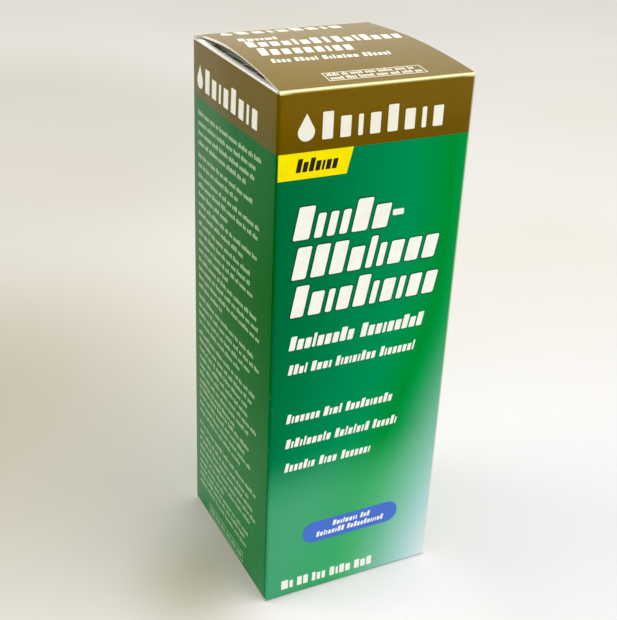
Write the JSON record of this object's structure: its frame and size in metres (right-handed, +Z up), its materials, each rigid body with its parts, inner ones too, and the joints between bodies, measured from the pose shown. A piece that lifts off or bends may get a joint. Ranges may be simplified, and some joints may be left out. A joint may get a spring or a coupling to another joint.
{
  "type": "boxed contact lens solution bottle",
  "caption": "Tall square tuck-top carton with a hinged, bowed lid, holding an oval squeeze bottle with a screw cap and a twin lens case.",
  "frame": {"origin": "centre of the carton's underside", "axes": "+Z up along the carton's height, -Y out of the front panel, +X to the right seen from the front"},
  "size_m": [0.067, 0.0676, 0.1903],
  "materials": {
    "printed_board": "gloss",
    "printed_board_gold": "gloss",
    "plain_board": "matte",
    "bottle_plastic": "satin",
    "tip_plastic": "satin",
    "band_film": "gloss",
    "label_film": "satin",
    "solution": "gloss",
    "seal_foam": "matte",
    "cap_plastic": "satin",
    "case_plastic": "satin",
    "lens_cap_green": "satin"
  },
  "bodies": {
    "carton": {"front_panel": "printed_board", "right_panel": "printed_board", "back_panel": "printed_board", "left_panel": "printed_board", "glue_flap": "plain_board", "bottom_dust_flap_left": "plain_board", "bottom_dust_flap_right": "plain_board", "bottom_inner_flap": "plain_board", "bottom_outer_flap": "printed_board"},
    "lid": {"lid_panel": "printed_board_gold"},
    "tuck": {"tuck_flap": "printed_board_gold"},
    "dust_left": {"dust_flap_left": "plain_board"},
    "dust_right": {"dust_flap_right": "plain_board"},
    "bottle": {"bottle_body": "bottle_plastic", "dispensing_tip": "tip_plastic", "neck_band": "band_film", "front_label": "label_film", "back_label": "label_film", "lens_solution": "solution"},
    "seal": {"cap_seal": "seal_foam"},
    "cap": {"screw_cap": "cap_plastic"},
    "lens_case": {"lens_case_base": "case_plastic"},
    "lens_cap_left": {"lens_cap_left": "cap_plastic"},
    "lens_cap_right": {"lens_cap_right": "lens_cap_green"}
  },
  "joints": [
    {"name": "lid_hinge", "type": "hinge", "parent": "carton", "child": "lid", "pos_m": [0, -0.03375, 0.187], "axis": [1, 0, 0], "range_deg": [0, 180]},
    {"name": "tuck_flap_hinge", "type": "hinge", "parent": "lid", "child": "tuck", "pos_m": [0, 0.03275, 0.1878], "axis": [1, 0, 0], "range_deg": [0, 45]},
    {"name": "dust_flap_left_hinge", "type": "hinge", "parent": "carton", "child": "dust_left", "pos_m": [-0.0335, 0, 0.1862], "axis": [0, -1, 0], "range_deg": [0, 90]},
    {"name": "dust_flap_right_hinge", "type": "hinge", "parent": "carton", "child": "dust_right", "pos_m": [0.0335, 0, 0.1862], "axis": [0, 1, 0], "range_deg": [0, 90]},
    {"name": "bottle_lift", "type": "slide", "parent": "carton", "child": "bottle", "axis": [0, 0, 1], "range_m": [0, 0.0035]},
    {"name": "cap_lift", "type": "slide", "parent": "bottle", "child": "seal", "axis": [0, 0, 1], "range_m": [0, 0.0048]},
    {"name": "cap_turn", "type": "hinge", "parent": "seal", "child": "cap", "pos_m": [0, -0.0076, 0.1515], "axis": [0, 0, 1], "range_deg": [0, 540]},
    {"name": "lens_case_slide", "type": "slide", "parent": "carton", "child": "lens_case", "axis": [0, 0, 1], "range_m": [0, 0.135]},
    {"name": "lens_cap_left_turn", "type": "hinge", "parent": "lens_case", "child": "lens_cap_left", "pos_m": [-0.016, 0.03, 0.0174], "axis": [0, 1, 0], "range_deg": [0, 270]},
    {"name": "lens_cap_right_turn", "type": "hinge", "parent": "lens_case", "child": "lens_cap_right", "pos_m": [0.016, 0.03, 0.0174], "axis": [0, 1, 0], "range_deg": [0, 270]}
  ],
  "couplings": [
    {"joint": "tuck_flap_hinge", "follows": "lid_hinge", "ratio": 0.25},
    {"joint": "dust_flap_left_hinge", "follows": "lid_hinge", "ratio": 0.5},
    {"joint": "dust_flap_right_hinge", "follows": "lid_hinge", "ratio": 0.5},
    {"joint": "cap_lift", "follows": "cap_turn", "m_per_rad": 0.00050611}
  ]
}
